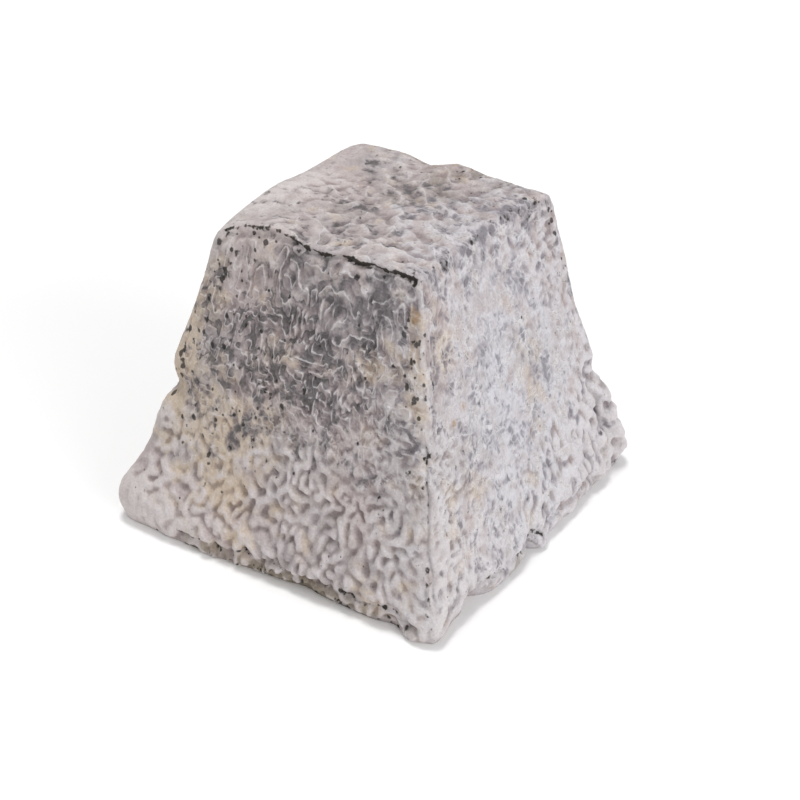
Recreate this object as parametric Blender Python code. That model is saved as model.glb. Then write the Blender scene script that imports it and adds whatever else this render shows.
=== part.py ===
"""A goat cheese pyramid with an ashed, wrinkled rind, as one solid.

The form is a truncated pyramid that leans a little and has slumped into a foot. Its rind is drawn on a
grid: columns round the four walls, rows up them, a square patch over the top and one flat face below.
Rounding, swellings, creases and the maze of wrinkles then move the points of that grid, and a decimation
keeps the triangles where the wrinkles need them. Lengths are in drawing units, a little under a
millimetre each, until the mesh is made.

A place on the rind is given by two numbers. The first goes round the walls: 0 to 1 along the front wall,
then the right, back and left walls. The second goes up them, and on the top it goes on inwards.
"""

import bpy
import numpy as np
from mathutils import Vector, noise

UNIT = 0.965e-3

HEIGHT = 65.0
FOOT_WIDTH = 74.0
TOP_WIDTH = 44.0
TOP_LEAN = np.array([0.3, 2.2])
COLUMNS_A_WALL = 120
ROWS = 112
SOLID_TRIANGLES = 11900
SEED = 11

# The four upright edges, anticlockwise from above, which start the front, right, back and left walls: the
# way each lies from the axis, and how far out it is at each height.
EDGE_WAYS = np.array([[-1, -1], [1, -1], [1, 1], [-1, 1]]) / np.sqrt(2)
EDGE_REACH = [
    [(0, 54.0), (3, 55.8), (7, 55.6), (9.5, 54.2), (12, 52.2), (16, 49.8), (24, 47.2),
     (32, 44.8), (39, 42.3), (46, 39.5), (55, 36.2), (65, 33.6)],
    [(0, 52.6), (3, 54.4), (6, 53.8), (10, 51.4), (20, 48.0), (40, 41.2), (65, 32.1)],
    [(0, 52.4), (3, 54.2), (8, 53.5), (14, 50.9), (20, 48.5), (27.5, 45.1), (39, 40.5),
     (51, 37.4), (57, 35.7), (65, 33.4)],
    [(0, 52.6), (3, 54.4), (8, 53.4), (13, 50.6), (24, 47.0), (40, 41.9), (65, 33.3)],
]

# How far each wall bows out from the straight line between its edges, halfway along it.
BOW_HEIGHTS = (0, 4, 10, 25, 45, 65)
WALL_BOWS = [
    (-0.5, 0.0, 0.0, 0.0, 0.2, -1.4),
    (0.6, 0.8, 0.3, -0.2, -0.1, -2.8),
    (0.8, 1.1, 0.5, 0.3, 0.5, 0.2),
    (0.4, 0.6, 0.0, 0.4, 0.6, 0.3),
]

# Radii that slumping has given the upright edges and the rim of the top above each wall.
EDGE_RADII = (3.2, 1.3, 2.4, 3.4)
RIM_RADII = (0.9, 1.8, 2.6, 4.6)
FLAT_RADIUS = 1.0
RADIUS_ZONE = 6.0
SPREAD_A_RADIUS = 0.8
SLUMP_ROUNDS = 70

# Swellings and dents: place round the walls, height, half width, half height, and how far out.
SWELLINGS = [
    (0.00, 30.8, 7.0, 3.2, -2.5),
    (0.02, 6.0, 7.0, 5.0, 0.9),
    (0.26, 1.5, 12.0, 5.0, 1.4),
    (0.60, 0.5, 3.0, 3.0, -0.9),
    (0.87, 1.0, 2.2, 4.0, -0.9),
    (0.94, 1.5, 2.8, 3.6, 1.7),
    (1.11, 1.0, 3.4, 4.0, -1.1),
    (1.195, 0.5, 2.9, 4.0, -3.4),
    (1.32, 3.0, 6.0, 5.0, 0.6),
    (1.455, 0.5, 1.8, 4.5, -3.4),
    (1.49, 2.0, 1.6, 3.4, 1.5),
    (1.63, 0.5, 1.6, 2.5, -1.2),
    (1.66, 3.5, 7.0, 5.0, 0.6),
    (1.74, 0.5, 1.5, 2.5, -1.0),
    (1.90, 13.0, 1.6, 9.0, -1.3),
    (1.97, 9.0, 2.6, 3.4, 0.7),
    (2.00, 23.6, 4.0, 2.0, -1.8),
    (2.30, 3.0, 5.0, 4.5, 1.2),
    (2.45, 2.0, 2.2, 4.5, -2.0),
    (2.62, 3.0, 6.5, 5.0, 1.3),
    (2.95, 5.0, 6.0, 5.5, 0.9),
    (3.22, 2.0, 2.4, 4.5, -1.7),
    (3.45, 3.5, 8.0, 5.0, 1.2),
    (3.60, 34.0, 11.0, 9.0, -0.9),
    (3.74, 2.0, 2.6, 4.5, -1.6),
]

# How far the rim of the top rises or sinks: place round the walls, half width, rise.
RIM_RISES = [
    (0.00, 5.0, -1.3),
    (0.28, 6.0, 1.8),
    (0.50, 4.0, -0.4),
    (0.70, 7.0, 1.1),
    (0.97, 5.0, 1.6),
    (1.34, 6.0, 0.3),
    (1.65, 6.0, 0.6),
    (2.05, 3.5, 0.2),
    (2.43, 3.5, 0.9),
    (2.60, 3.5, -1.1),
    (3.00, 4.0, -0.5),
    (3.62, 9.0, 1.3),
]
RIM_RISE_REACH = 7.0

# Creases: depth, half width, and the places that each runs through.
CREASES = [
    (1.5, 0.85, [(0.22, 2.6), (0.42, 4.0), (0.58, 4.4), (0.78, 4.3), (0.94, 3.4)]),
    (0.9, 0.60, [(0.08, 63.2), (0.28, 62.9), (0.44, 63.7), (0.70, 63.9), (0.97, 63.6)]),
    (0.8, 0.55, [(0.985, 37.0), (0.995, 28.0), (0.985, 20.0), (1.005, 7.0)]),
    (1.0, 0.80, [(1.08, 2.6), (1.25, 4.6), (1.40, 3.6), (1.58, 5.2), (1.80, 4.0)]),
    (1.2, 0.80, [(2.14, 3.0), (2.40, 4.6), (2.70, 4.0), (2.88, 3.2)]),
    (1.2, 0.80, [(3.12, 3.0), (3.42, 4.4), (3.66, 3.6), (3.90, 4.4)]),
]

UNDULATION = 0.45
UNDULATION_SCALE = 13.0

# The wrinkles near each of these points: their pitch, how much longer they are up the wall than across
# it, their depth, and how narrow their ridges are (0 for round worms, 1 for thin folds).
WRINKLE_STATIONS = [
    ((0, -24, 55), 2.5, 1.8, 0.50, 0.8),
    ((12, -25, 50), 2.3, 1.6, 0.45, 0.7),
    ((-16, -25, 54), 2.6, 1.4, 0.25, 0.5),
    ((-24, -28, 36), 2.3, 1.2, 0.28, 0.4),
    ((0, -30, 38), 2.1, 1.2, 0.42, 0.6),
    ((22, -30, 34), 2.3, 1.1, 0.40, 0.5),
    ((-18, -34, 20), 2.6, 1.2, 0.42, 0.3),
    ((4, -34, 20), 2.9, 1.0, 0.62, 0.1),
    ((24, -36, 14), 3.4, 1.0, 0.66, 0.0),
    ((-8, -38, 10), 3.3, 1.3, 0.70, 0.0),
    ((-27, -38, 12), 3.6, 1.2, 0.50, 0.0),
    ((-37, -38, 5), 5.0, 1.0, 0.12, 0.0),
    ((34, -37, 4), 4.5, 1.0, 0.22, 0.0),
    ((25, -2, 52), 2.2, 2.0, 0.34, 0.5),
    ((28, -12, 36), 2.1, 1.9, 0.34, 0.4),
    ((30, 12, 30), 2.2, 1.9, 0.38, 0.4),
    ((34, -16, 14), 2.9, 1.7, 0.50, 0.2),
    ((35, 14, 13), 3.0, 1.7, 0.60, 0.1),
    ((37, 34, 12), 4.2, 1.3, 0.55, 0.0),
    ((2, -10, 65), 3.3, 1.0, 0.60, 0.3),
    ((14, -4, 65), 3.0, 1.0, 0.62, 0.3),
    ((12, 12, 65), 3.0, 1.0, 0.60, 0.2),
    ((-4, 14, 65), 3.3, 1.0, 0.50, 0.1),
    ((-8, 0, 65), 3.4, 1.0, 0.52, 0.2),
    ((-19, -10, 65), 4.0, 1.0, 0.16, 0.0),
    ((-19, 12, 65), 4.0, 1.0, 0.14, 0.0),
    ((0, 28, 48), 2.5, 1.5, 0.42, 0.5),
    ((-12, 35, 20), 3.0, 1.1, 0.58, 0.1),
    ((16, 36, 14), 3.2, 1.2, 0.60, 0.0),
    ((-26, 4, 46), 2.5, 1.5, 0.38, 0.6),
    ((-34, -10, 20), 2.8, 1.2, 0.50, 0.2),
    ((-36, 18, 12), 3.3, 1.2, 0.62, 0.0),
]
STATION_SOFTENING = 3.0

# The solid has few triangles, so its wrinkles are wider and deeper than the pitches and depths above.
COARSER = 1.4
DEEPER = 1.2

# How the maze of wrinkles grows: what spreads over the near share of the pitch is kept, and what spreads
# over the far share is taken away.
NEAR_SPREAD = 0.153
FAR_SPREAD = 0.306
NEAR_PASSES = 10
FAR_PASSES = 40
SOFT_PASSES = 4
LEAST_GAP = 0.2
MOST_SHARE = 0.24
MAZE_ROUNDS = 13
MAZE_GAIN = 4.2
FOLD_POWER = 2.6

# Along the edges and the rim only this share of the wrinkles is left.
CALM = 0.25
CALM_ZONE = 1.7
FLOOR_ZONE = 1.4
FLOOR_SLACK = 0.15

RIND_COLOUR = (0.50, 0.47, 0.46, 1.0)
RIND_ROUGHNESS = 0.85


def rind_indices():
    """Point numbers of the wall grid [row, column] and of the top patch [x, y], which shares its border."""
    n = COLUMNS_A_WALL
    wall = np.arange((ROWS + 1) * 4 * n).reshape(ROWS + 1, 4 * n)
    top = np.zeros((n + 1, n + 1), int)
    top[1:n, 1:n] = wall.size + np.arange((n - 1) ** 2).reshape(n - 1, n - 1)
    steps = np.arange(n + 1)
    rim = wall[ROWS]
    top[steps, 0] = rim[steps]
    top[n, steps] = rim[n + steps]
    top[steps, n] = rim[3 * n - steps]
    top[0, steps] = rim[(4 * n - steps) % (4 * n)]
    return wall, top


def rind_neighbours(wall, top):
    """Each point's neighbours as columns: before and after along its row, then below and above."""
    n = COLUMNS_A_WALL
    near = np.zeros((wall.size + (n - 1) ** 2, 4), int)
    near[wall, 0] = np.roll(wall, 1, axis=1)
    near[wall, 1] = np.roll(wall, -1, axis=1)
    near[wall, 2] = np.vstack([wall[:1], wall[:-1]])
    near[wall, 3] = np.vstack([wall[1:], wall[-1:]])
    inner = top[1:n, 1:n]
    near[inner, 0] = top[0 : n - 1, 1:n]
    near[inner, 1] = top[2:, 1:n]
    near[inner, 2] = top[1:n, 0 : n - 1]
    near[inner, 3] = top[1:n, 2:]
    near[top[1:n, 0], 3] = top[1:n, 1]
    near[top[n, 1:n], 3] = top[n - 1, 1:n]
    near[top[1:n, n], 3] = top[1:n, n - 1]
    near[top[0, 1:n], 3] = top[1, 1:n]
    return near


def rind_faces(wall, top):
    """Quads of the walls and the top, then the flat base as one face."""
    right = np.roll(wall, -1, axis=1)
    sides = np.stack([wall[:-1], right[:-1], right[1:], wall[1:]], axis=-1).reshape(-1, 4)
    lid = np.stack([top[:-1, :-1], top[1:, :-1], top[1:, 1:], top[:-1, 1:]], axis=-1).reshape(-1, 4)
    return np.vstack([sides, lid]).tolist() + [wall[0, ::-1].tolist()]


def wall_points():
    """Points of the sharp-edged pyramid's walls, as [row, column, xyz]."""
    n = COLUMNS_A_WALL
    heights = np.linspace(0, HEIGHT, ROWS + 1)
    centres = heights[:, None] / HEIGHT * TOP_LEAN
    corners = [
        centres + np.interp(heights, *zip(*track))[:, None] * way
        for way, track in zip(EDGE_WAYS, EDGE_REACH)
    ]
    along = np.arange(n) / n
    points = np.zeros((ROWS + 1, 4 * n, 3))
    points[..., 2] = heights[:, None]
    for side in range(4):
        here, there = corners[side], corners[(side + 1) % 4]
        span = there - here
        outward = np.stack([span[:, 1], -span[:, 0]], axis=1) / np.linalg.norm(span, axis=1)[:, None]
        bow = np.interp(heights, BOW_HEIGHTS, WALL_BOWS[side])
        share = along[None, :, None]
        bulge = 4 * share * (1 - share) * (bow[:, None] * outward)[:, None, :]
        points[:, side * n : (side + 1) * n, :2] = here[:, None] + share * span[:, None] + bulge
    return points


def top_points(rim):
    """The top patch as [x, y, xyz], blended from the four runs of the rim."""
    n = COLUMNS_A_WALL
    steps = np.arange(n + 1)
    low, high = rim[steps], rim[3 * n - steps]
    left, right = rim[(4 * n - steps) % (4 * n)], rim[n + steps]
    s = (steps / n)[:, None, None]
    t = (steps / n)[None, :, None]
    across = (1 - t) * low[:, None] + t * high[:, None]
    along = (1 - s) * left[None] + s * right[None]
    corners = (1 - s) * ((1 - t) * low[0] + t * high[0]) + s * ((1 - t) * low[-1] + t * high[-1])
    return across + along - corners


def places(wall, top):
    """Each point's place: round the walls, and up them and on inwards over the top."""
    n = COLUMNS_A_WALL
    count = wall.size + (n - 1) ** 2
    around, upward = np.zeros(count), np.zeros(count)
    around[wall] = np.arange(4 * n) / n
    upward[wall] = np.linspace(0, HEIGHT, ROWS + 1)[:, None]
    x, y = np.meshgrid(np.arange(1, n), np.arange(1, n), indexing="ij")
    insets = np.stack([y, n - x, n - y, x])
    side = insets.argmin(axis=0)
    around[top[1:n, 1:n]] = side + np.choose(side, [x, y, n - x, n - y]) / n
    upward[top[1:n, 1:n]] = HEIGHT + insets.min(axis=0) / n * TOP_WIDTH
    return around % 4, upward


def wall_width(upward):
    """Width of the walls at this height. Over the top it stays that of the rim."""
    return np.interp(upward, [0, HEIGHT], [FOOT_WIDTH, TOP_WIDTH])


def sideways(around, upward, place):
    """Distance along the walls from a place round them."""
    return ((around - place + 2) % 4 - 2) * wall_width(upward)


def edge_distance(around, upward):
    """Distance along the wall from the nearest upright edge."""
    share = around % 1
    return np.minimum(share, 1 - share) * wall_width(upward)


def rounding(around, upward):
    """The radius that slumping gives each point's surroundings."""
    side = around.astype(int)
    edge = np.where(around % 1 < 0.5, side, (side + 1) % 4)
    by_edge = np.clip(1 - edge_distance(around, upward) / RADIUS_ZONE, 0, 1)
    by_rim = np.clip(1 - abs(HEIGHT - upward) / RADIUS_ZONE, 0, 1)
    edge_radius = FLAT_RADIUS + (np.take(EDGE_RADII, edge) - FLAT_RADIUS) * np.sqrt(by_edge)
    rim_radius = FLAT_RADIUS + (np.take(RIM_RADII, side) - FLAT_RADIUS) * np.sqrt(by_rim)
    return np.where(by_rim > 0, np.maximum(rim_radius, edge_radius * by_edge), edge_radius)


def slumped(points, near, radius, floor):
    """The points drawn towards their neighbours' mean, as often and as far as their radius asks."""
    gap = np.linalg.norm(points[near] - points[:, None], axis=2).max(axis=1)
    spread = SPREAD_A_RADIUS * radius
    pull = np.clip(2 * spread**2 / gap**2 / SLUMP_ROUNDS, 0, 0.9)[:, None]
    for _ in range(SLUMP_ROUNDS):
        points = points + pull * (points[near].mean(axis=1) - points)
        points[floor, 2] = 0
    return points


def outward(points, faces):
    """Each point's outward direction. Along the floor it stays level."""
    quads = np.array(faces[:-1])
    first = points[quads[:, 2]] - points[quads[:, 0]]
    second = points[quads[:, 3]] - points[quads[:, 1]]
    across = np.cross(first, second)
    total = np.zeros_like(points)
    for corner in range(4):
        np.add.at(total, quads[:, corner], across)
    total[faces[-1], 2] = 0
    return total / np.linalg.norm(total, axis=1)[:, None]


def rim_rise(around, upward):
    """How far the rim, and what lies near it, has risen or sunk."""
    rise = np.zeros_like(around)
    for place, half_width, up in RIM_RISES:
        rise += up * np.exp(-((sideways(around, upward, place) / half_width) ** 2))
    return rise * np.exp(-(((upward - HEIGHT) / RIM_RISE_REACH) ** 2))


def swelling(around, upward):
    """How far the swellings and dents lift each point."""
    lift = np.zeros_like(around)
    for place, level, half_width, half_height, out in SWELLINGS:
        across = sideways(around, upward, place) / half_width
        lift += out * np.exp(-(across**2) - ((upward - level) / half_height) ** 2)
    return lift


def line_distance(across, upward, start, end):
    """Distance on the unrolled wall from the straight line between two (across, upward) pairs."""
    span = np.subtract(end, start)
    share = ((across - start[0]) * span[0] + (upward - start[1]) * span[1]) / (span @ span)
    share = np.clip(share, 0, 1)
    return np.hypot(across - start[0] - share * span[0], upward - start[1] - share * span[1])


def crease_depth(around, upward):
    """How deep the creases cut in at each point."""
    depth = np.zeros_like(around)
    for deep, half_width, route in CREASES:
        origin = route[0][0]
        across = sideways(around, upward, origin)
        stops = [((place - origin) * wall_width(level), level) for place, level in route]
        away = [line_distance(across, upward, *leg) for leg in zip(stops, stops[1:])]
        depth += deep * np.exp(-((np.min(away, axis=0) / half_width) ** 2))
    return depth


def undulation(points):
    """Slow unevenness of the rind."""
    return np.array([noise.noise(Vector(point) / UNDULATION_SCALE) for point in points])


def station_values(points):
    """Pitch, stretch up the wall, depth and thinness of the wrinkles at each point."""
    spots = np.array([spot for spot, *_ in WRINKLE_STATIONS], float)
    values = np.array([rest for _, *rest in WRINKLE_STATIONS])
    apart = ((points[:, None] - spots) ** 2).sum(axis=2) + STATION_SOFTENING**2
    shares = apart**-2.0
    return (shares @ values / shares.sum(axis=1)[:, None]).T


def spread_out(pattern, near, across, up, passes):
    """A pattern spread over its neighbours, by a share across and a share up in each pass."""
    for _ in range(passes):
        around = pattern[near]
        sides = around[:, 0] + around[:, 1] - 2 * pattern
        ends = around[:, 2] + around[:, 3] - 2 * pattern
        pattern = pattern + across * sides + up * ends
    return pattern


def maze(points, near, pitch, stretch):
    """A maze of wrinkles, from -1 in its valleys to 1 on its ridges, softened at the end."""
    gaps = np.linalg.norm(points[near] - points[:, None], axis=2)
    across = np.maximum(gaps[:, :2].mean(axis=1), LEAST_GAP)
    up = np.maximum(gaps[:, 2:].max(axis=1), LEAST_GAP)
    spreads = []
    for share, passes in ((NEAR_SPREAD, NEAR_PASSES), (FAR_SPREAD, FAR_PASSES)):
        variance = (share * pitch) ** 2 / 2 / passes
        shares = (variance / stretch / across**2, variance * stretch / up**2)
        spreads.append((*np.clip(shares, 0, MOST_SHARE), passes))
    pattern = np.random.default_rng(SEED).normal(size=len(points))
    for _ in range(MAZE_ROUNDS):
        kept = spread_out(pattern, near, *spreads[0])
        taken = spread_out(pattern, near, *spreads[1])
        pattern = np.tanh(MAZE_GAIN * (kept - taken))
    return spread_out(pattern, near, *spreads[0][:2], SOFT_PASSES)


def wrinkle_height(points, near, around, upward):
    """Height of the wrinkles over the rind, calmer along its edges and none on the floor."""
    pitch, stretch, depth, thinness = station_values(points)
    pattern = maze(points, near, COARSER * pitch, stretch)
    fold = 2 * ((pattern + 1) / 2) ** FOLD_POWER - 1
    shape = pattern + thinness * (fold - pattern)
    by_edge = np.exp(-((edge_distance(around, upward) / CALM_ZONE) ** 2)) * (upward < HEIGHT)
    by_rim = np.exp(-(((upward - HEIGHT) / CALM_ZONE) ** 2))
    strength = CALM + (1 - CALM) * (1 - by_edge) * (1 - by_rim)
    return DEEPER * depth / 2 * shape * strength * np.clip(upward / FLOOR_ZONE, 0, 1)


def cheese_points(near, faces, wall, top):
    """All points of the rind."""
    n = COLUMNS_A_WALL
    points = np.zeros((len(near), 3))
    points[wall] = wall_points()
    points[top[1:n, 1:n]] = top_points(points[wall[ROWS]])[1:n, 1:n]
    around, upward = places(wall, top)
    points = slumped(points, near, rounding(around, upward), wall[0])
    points[:, 2] += rim_rise(around, upward)
    lift = swelling(around, upward) + UNDULATION * undulation(points)
    points = points + lift[:, None] * outward(points, faces)
    lift = wrinkle_height(points, near, around, upward) - crease_depth(around, upward)
    points = points + lift[:, None] * outward(points, faces)
    points[wall[0], 2] = 0
    return points


def rind_material():
    material = bpy.data.materials.new("ashed_rind")
    material.use_nodes = True
    shader = material.node_tree.nodes["Principled BSDF"]
    shader.inputs["Base Color"].default_value = RIND_COLOUR
    shader.inputs["Roughness"].default_value = RIND_ROUGHNESS
    return material


def thinned(cheese, triangles):
    """The object's mesh with fewer triangles, kept where the relief needs them."""
    fewer = cheese.modifiers.new("Fewer triangles", "DECIMATE")
    fewer.ratio = SOLID_TRIANGLES / triangles
    evaluated = cheese.evaluated_get(bpy.context.evaluated_depsgraph_get())
    mesh = bpy.data.meshes.new_from_object(evaluated)
    cheese.modifiers.remove(fewer)
    return mesh


def settle(mesh):
    """Lay the lowest points flat on the floor, and centre the mesh over the origin."""
    points = np.zeros(len(mesh.vertices) * 3)
    mesh.vertices.foreach_get("co", points)
    points = points.reshape(-1, 3)
    points[points[:, 2] < FLOOR_SLACK * UNIT, 2] = 0
    middle = (points.min(axis=0) + points.max(axis=0)) / 2
    points[:, :2] -= middle[:2]
    mesh.vertices.foreach_set("co", points.ravel())
    mesh.update()


def make_cheese():
    wall, top = rind_indices()
    near = rind_neighbours(wall, top)
    faces = rind_faces(wall, top)
    points = cheese_points(near, faces, wall, top) * UNIT
    rind = bpy.data.meshes.new("rind")
    rind.from_pydata(points.tolist(), [], faces)
    cheese = bpy.data.objects.new("cheese", rind)
    bpy.context.scene.collection.objects.link(cheese)
    cheese.data = thinned(cheese, sum(len(face) - 2 for face in faces))
    settle(cheese.data)
    cheese.data.materials.append(rind_material())


for old in list(bpy.data.objects):
    bpy.data.objects.remove(old)
make_cheese()
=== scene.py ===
"""Looks of the goat cheese pyramid: its rind at the wrinkles' true pitch, with ash, mould and bare skin.

The form is drawn as in the part's source, on a grid of columns round the walls, rows up them and a patch
over the top. The lines of the thin folds are grown on it as the sign changes of a wide maze. The grid is
then made finer, and the maze of round wrinkles is grown on that. What each spot of the rind carries goes
along as attributes, which the material turns into colour: one for each name in ZONES, one for the dark
lines of dirt and of painted shade along the creases, "height" for the relief, from which the material
also paints shade in the valleys and light on the ridges, and "lines" and "lips" for the thin folds, whose
lips lit from above get painted highlights. Lengths are in drawing units, a little under a millimetre each,
until the mesh is made.

A place on the rind is given by two numbers. The first goes round the walls: 0 to 1 along the front wall,
then the right, back and left walls. The second goes up them, and on the top it goes on inwards.
"""

import bpy
import numpy as np
from mathutils import Matrix, Vector, noise


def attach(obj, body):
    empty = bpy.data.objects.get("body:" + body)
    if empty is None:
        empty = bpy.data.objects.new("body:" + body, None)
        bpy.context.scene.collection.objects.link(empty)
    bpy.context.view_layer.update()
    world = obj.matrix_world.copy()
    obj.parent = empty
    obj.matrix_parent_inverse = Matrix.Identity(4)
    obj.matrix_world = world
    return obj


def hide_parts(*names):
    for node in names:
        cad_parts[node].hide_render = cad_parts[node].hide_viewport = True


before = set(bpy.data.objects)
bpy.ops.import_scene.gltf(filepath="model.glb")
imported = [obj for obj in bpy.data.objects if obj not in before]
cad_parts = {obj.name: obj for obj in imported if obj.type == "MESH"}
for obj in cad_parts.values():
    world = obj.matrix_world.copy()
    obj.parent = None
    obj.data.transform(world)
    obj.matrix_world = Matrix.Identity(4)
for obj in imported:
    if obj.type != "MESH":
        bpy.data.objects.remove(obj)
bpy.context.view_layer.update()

UNIT = 0.965e-3

HEIGHT = 65.0
FOOT_WIDTH = 74.0
TOP_WIDTH = 44.0
TOP_LEAN = np.array([0.3, 2.2])
COLUMNS_A_WALL = 120
ROWS = 112
SHOWN_TRIANGLES = 197000
EVENING_ROUNDS = 3
SEED = 11

# The four upright edges, anticlockwise from above, which start the front, right, back and left walls: the
# way each lies from the axis, and how far out it is at each height.
EDGE_WAYS = np.array([[-1, -1], [1, -1], [1, 1], [-1, 1]]) / np.sqrt(2)
EDGE_REACH = [
    [(0, 54.0), (3, 55.8), (7, 55.6), (9.5, 54.2), (12, 52.2), (16, 49.8), (24, 47.2),
     (32, 44.8), (39, 42.3), (46, 39.5), (55, 36.2), (65, 33.6)],
    [(0, 52.6), (3, 54.4), (6, 53.8), (10, 51.4), (20, 48.0), (40, 41.2), (65, 32.1)],
    [(0, 52.4), (3, 54.2), (8, 53.5), (14, 50.9), (20, 48.5), (27.5, 45.1), (39, 40.5),
     (51, 37.4), (57, 35.7), (65, 33.4)],
    [(0, 52.6), (3, 54.4), (8, 53.4), (13, 50.6), (24, 47.0), (40, 41.9), (65, 33.3)],
]

# How far each wall bows out from the straight line between its edges, halfway along it.
BOW_HEIGHTS = (0, 4, 10, 25, 45, 65)
WALL_BOWS = [
    (-0.5, 0.0, 0.0, 0.0, 0.2, -1.4),
    (0.6, 0.8, 0.3, -0.2, -0.1, -2.8),
    (0.8, 1.1, 0.5, 0.3, 0.5, 0.2),
    (0.4, 0.6, 0.0, 0.4, 0.6, 0.3),
]

# Radii that slumping has given the upright edges and the rim of the top above each wall.
EDGE_RADII = (3.2, 1.3, 2.4, 3.4)
RIM_RADII = (0.9, 1.8, 2.6, 4.6)
FLAT_RADIUS = 1.0
RADIUS_ZONE = 6.0
SPREAD_A_RADIUS = 0.8
SLUMP_ROUNDS = 70

# Swellings and dents: place round the walls, height, half width, half height, and how far out.
SWELLINGS = [
    (0.00, 30.8, 7.0, 3.2, -2.5),
    (0.02, 6.0, 7.0, 5.0, 0.9),
    (0.26, 1.5, 12.0, 5.0, 1.4),
    (0.60, 0.5, 3.0, 3.0, -0.9),
    (0.87, 1.0, 2.2, 4.0, -0.9),
    (0.94, 1.5, 2.8, 3.6, 1.7),
    (1.11, 1.0, 3.4, 4.0, -1.1),
    (1.195, 0.5, 2.9, 4.0, -3.4),
    (1.32, 3.0, 6.0, 5.0, 0.6),
    (1.455, 0.5, 1.8, 4.5, -3.4),
    (1.49, 2.0, 1.6, 3.4, 1.5),
    (1.63, 0.5, 1.6, 2.5, -1.2),
    (1.66, 3.5, 7.0, 5.0, 0.6),
    (1.74, 0.5, 1.5, 2.5, -1.0),
    (1.90, 13.0, 1.6, 9.0, -1.3),
    (1.97, 9.0, 2.6, 3.4, 0.7),
    (2.00, 23.6, 4.0, 2.0, -1.8),
    (1.93, 17.5, 2.0, 2.2, 0.7),
    (1.90, 12.5, 1.8, 1.6, -0.8),
    (1.97, 14.0, 2.0, 2.0, 0.8),
    (2.00, 15.0, 3.0, 6.0, -0.8),
    (1.965, 18.0, 1.3, 5.0, 1.2),
    (1.915, 16.0, 1.0, 6.0, -1.0),
    (1.875, 10.0, 1.2, 5.0, 0.9),
    (1.845, 12.0, 1.0, 6.0, -0.8),
    (1.84, 6.0, 2.4, 2.6, 0.9),
    (1.94, 6.0, 1.6, 2.0, -0.8),
    (1.99, 4.0, 2.4, 2.2, 0.7),
    (1.78, 10.0, 1.6, 2.4, -0.7),
    (2.30, 3.0, 5.0, 4.5, 1.2),
    (2.45, 2.0, 2.2, 4.5, -2.0),
    (2.62, 3.0, 6.5, 5.0, 1.3),
    (2.95, 5.0, 6.0, 5.5, 0.9),
    (3.22, 2.0, 2.4, 4.5, -1.7),
    (3.45, 3.5, 8.0, 5.0, 1.2),
    (3.60, 34.0, 11.0, 9.0, -0.9),
    (3.74, 2.0, 2.6, 4.5, -1.6),
]

# How far the rim of the top rises or sinks: place round the walls, half width, rise.
RIM_RISES = [
    (0.00, 5.0, -1.3),
    (0.28, 6.0, 1.8),
    (0.50, 4.0, -0.4),
    (0.70, 7.0, 1.1),
    (0.97, 8.0, 1.2),
    (1.30, 7.0, 0.4),
    (1.65, 6.0, 0.6),
    (2.05, 3.5, 0.2),
    (2.43, 3.5, 0.9),
    (2.60, 3.5, -1.1),
    (3.00, 4.0, -0.5),
    (3.62, 9.0, 1.3),
]
RIM_RISE_REACH = 7.0

# Creases: depth, half width, and the places that each runs through.
CREASES = [
    (1.3, 0.75, [(0.22, 2.6), (0.42, 4.0), (0.58, 4.4), (0.78, 4.3), (0.94, 3.4)]),
    (0.9, 0.60, [(0.08, 63.6), (0.28, 63.5), (0.44, 64.0), (0.70, 64.1), (0.97, 63.8)]),
    (0.7, 0.60, [(0.985, 37.0), (0.995, 28.0), (0.985, 20.0), (1.005, 7.0)]),
    (1.0, 0.80, [(1.08, 2.6), (1.25, 4.6), (1.40, 3.6), (1.58, 5.2), (1.80, 4.0)]),
    (1.2, 0.80, [(2.14, 3.0), (2.40, 4.6), (2.70, 4.0), (2.88, 3.2)]),
    (1.2, 0.80, [(3.12, 3.0), (3.42, 4.4), (3.66, 3.6), (3.90, 4.4)]),
]

# How far creases and the dark lines of dirt and painted crease shade stray from their places, and over what
# length.
LINE_STRAY = 1.1
LINE_STRAY_SIZE = 4.0

UNDULATION = 0.45
UNDULATION_SCALE = 13.0

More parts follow.
